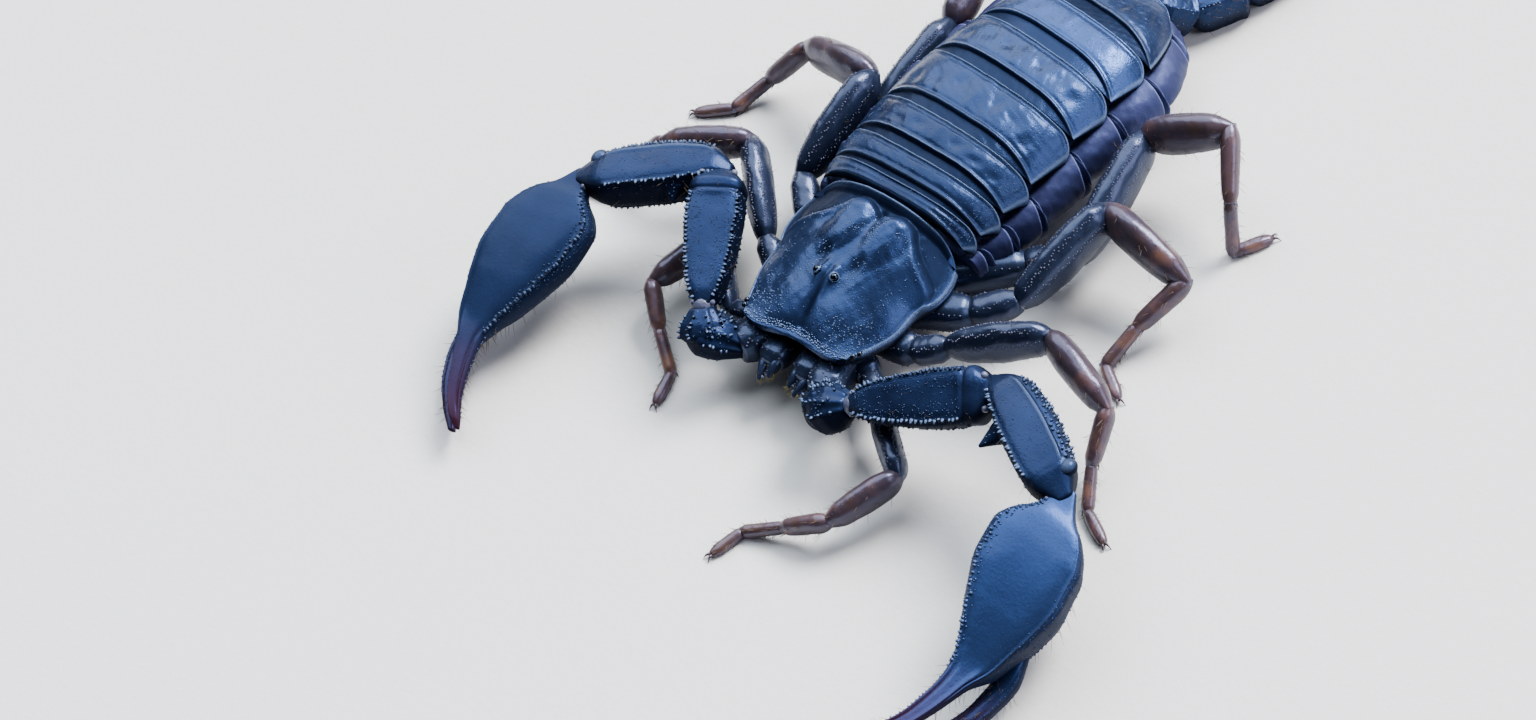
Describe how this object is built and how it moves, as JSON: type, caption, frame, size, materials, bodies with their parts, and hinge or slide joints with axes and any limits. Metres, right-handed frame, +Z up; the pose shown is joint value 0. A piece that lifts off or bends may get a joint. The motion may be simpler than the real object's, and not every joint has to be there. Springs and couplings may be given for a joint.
{
  "type": "scorpion figure",
  "caption": "Still, life-size model of a small dark wood scorpion standing on its feet, claws held forward and thin tail laid out behind.",
  "frame": {"origin": "on the floor, under the middle of the bounding box", "axes": "+Z up from the floor, head toward -Y, tail toward +Y, the animal's left side toward +X"},
  "size_m": [0.0302, 0.0502, 0.005],
  "materials": {
    "shell": "glossy blue-black chitin with fine granules",
    "membrane": "satin slate-blue folded skin",
    "leg_horn": "satin purplish brown chitin",
    "finger_horn": "glossy dark reddish chitin",
    "telson_horn": "satin reddish brown chitin",
    "comb": "satin pale brown chitin",
    "eye": "polished black",
    "setae": "fine amber hairs"
  },
  "bodies": {
    "root": {"carapace": "shell", "eye_median_left": "eye", "eye_median_right": "eye", "eyes_lateral_left": "eye", "eyes_lateral_right": "eye", "chelicera_left": "shell", "chelicera_right": "shell", "coxosternum": "shell", "leg_left_1_femur": "leg_horn", "leg_left_1_patella": "leg_horn", "leg_left_1_tarsus": "leg_horn", "leg_left_2_femur": "leg_horn", "leg_left_2_patella": "leg_horn", "leg_left_2_tarsus": "leg_horn", "leg_left_3_femur": "leg_horn", "leg_left_3_patella": "leg_horn", "leg_left_3_tarsus": "leg_horn", "leg_left_4_femur": "leg_horn", "leg_left_4_patella": "leg_horn", "leg_left_4_tarsus": "leg_horn", "leg_right_1_femur": "leg_horn", "leg_right_1_patella": "leg_horn", "leg_right_1_tarsus": "leg_horn", "leg_right_2_femur": "leg_horn", "leg_right_2_patella": "leg_horn", "leg_right_2_tarsus": "leg_horn", "leg_right_3_femur": "leg_horn", "leg_right_3_patella": "leg_horn", "leg_right_3_tarsus": "leg_horn", "leg_right_4_femur": "leg_horn", "leg_right_4_patella": "leg_horn", "leg_right_4_tarsus": "leg_horn", "tergite_1": "shell", "tergite_2": "shell", "tergite_3": "shell", "tergite_4": "shell", "tergite_5": "shell", "tergite_6": "shell", "tergite_7": "shell", "trunk": "membrane", "pectine_left": "comb", "pectine_right": "comb", "metasoma_1": "shell", "metasoma_2": "shell", "metasoma_3": "shell", "metasoma_4": "shell", "metasoma_5": "shell", "telson": "telson_horn", "pedipalp_left_coxa": "shell", "pedipalp_left_trochanter": "shell", "pedipalp_left_femur": "shell", "pedipalp_left_patella": "shell", "pedipalp_left_hand": "shell", "pedipalp_left_finger": "finger_horn", "pedipalp_right_coxa": "shell", "pedipalp_right_trochanter": "shell", "pedipalp_right_femur": "shell", "pedipalp_right_patella": "shell", "pedipalp_right_hand": "shell", "pedipalp_right_finger": "finger_horn"}
  },
  "joints": []
}
